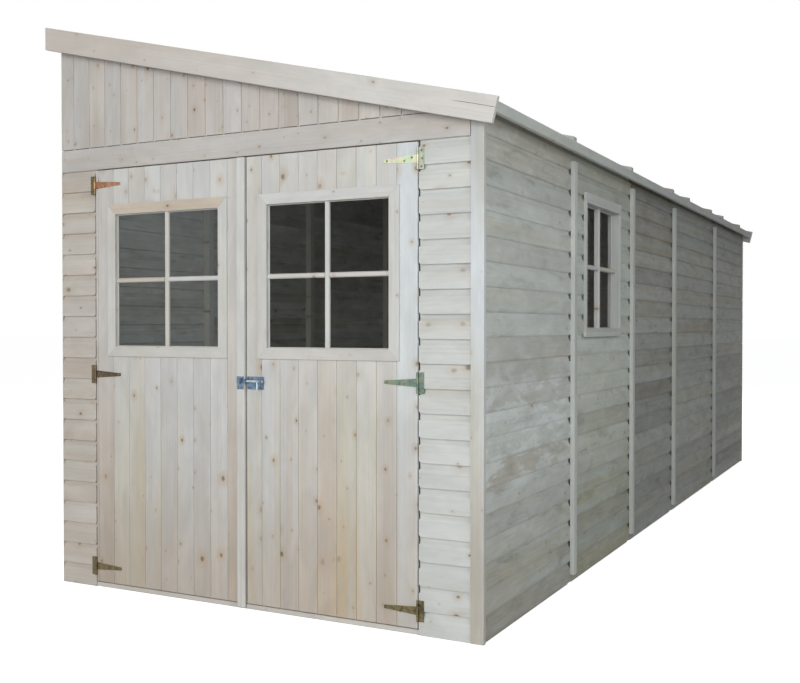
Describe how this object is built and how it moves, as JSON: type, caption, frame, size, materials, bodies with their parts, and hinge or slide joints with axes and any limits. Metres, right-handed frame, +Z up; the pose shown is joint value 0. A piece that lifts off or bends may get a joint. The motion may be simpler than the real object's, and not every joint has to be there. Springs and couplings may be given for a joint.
{
  "type": "garden shed",
  "caption": "Wooden lean-to garden shed with panel walls, outward-opening double doors with four-pane windows, a side window, T hinges and a sliding bolt.",
  "frame": {"origin": "centre of the whole outline, on the floor", "axes": "+Z up, the doors face -Y, the roof falls towards +X"},
  "size_m": [2.069, 5.5942, 2.3809],
  "materials": {
    "clad_wood": "bare planed spruce boards",
    "door_wood": "bare planed spruce boards, warmer",
    "trim_wood": "bare planed spruce",
    "frame_wood": "bare sawn spruce",
    "roof_wood": "bare planed spruce boards",
    "window_glass": "clear",
    "hinge_zinc": "yellow zinc plate with rainbow tints",
    "bolt_zinc": "blue zinc plate"
  },
  "bodies": {
    "shed": {"front_wall_left": "clad_wood", "front_wall_right": "clad_wood", "front_sill": "trim_wood", "front_header": "trim_wood", "front_gable": "clad_wood", "front_posts": "frame_wood", "front_head_rail": "frame_wood", "corner_boards": "trim_wood", "right_wall_panels": "clad_wood", "right_wall_window_panel": "clad_wood", "right_wall_battens": "trim_wood", "right_wall_studs": "frame_wood", "right_wall_rails": "frame_wood", "side_window_frame": "trim_wood", "side_window_glass": "window_glass", "left_wall_panels": "clad_wood", "left_wall_battens": "trim_wood", "left_wall_studs": "frame_wood", "left_wall_rails": "frame_wood", "back_wall": "clad_wood", "back_header": "trim_wood", "back_gable": "clad_wood", "back_posts": "frame_wood", "back_rails": "frame_wood", "roof_panels": "roof_wood", "roof_cover_strips": "roof_wood", "rafters": "frame_wood", "barge_boards": "trim_wood", "eaves_board": "trim_wood", "high_edge_board": "trim_wood", "hinge_plates": "hinge_zinc"},
    "left_door": {"left_door_leaf": "door_wood", "left_door_ledges": "frame_wood", "left_door_window_frame": "trim_wood", "left_door_glass": "window_glass", "left_door_straps": "hinge_zinc", "left_door_cover_strip": "trim_wood", "bolt_keeper": "bolt_zinc"},
    "right_door": {"right_door_leaf": "door_wood", "right_door_ledges": "frame_wood", "right_door_window_frame": "trim_wood", "right_door_glass": "window_glass", "right_door_straps": "hinge_zinc", "bolt_plate": "bolt_zinc"},
    "bolt": {"bolt_rod": "bolt_zinc"}
  },
  "joints": [
    {"name": "left_door_hinge", "type": "hinge", "parent": "shed", "child": "left_door", "pos_m": [-0.803, -2.75, 0.9], "axis": [0, 0, -1], "range_deg": [0, 170]},
    {"name": "right_door_hinge", "type": "hinge", "parent": "shed", "child": "right_door", "pos_m": [0.712, -2.75, 0.9], "axis": [0, 0, 1], "range_deg": [0, 170]},
    {"name": "bolt_slide", "type": "slide", "parent": "right_door", "child": "bolt", "axis": [-1, 0, 0], "range_m": [0, 0.04]}
  ]
}
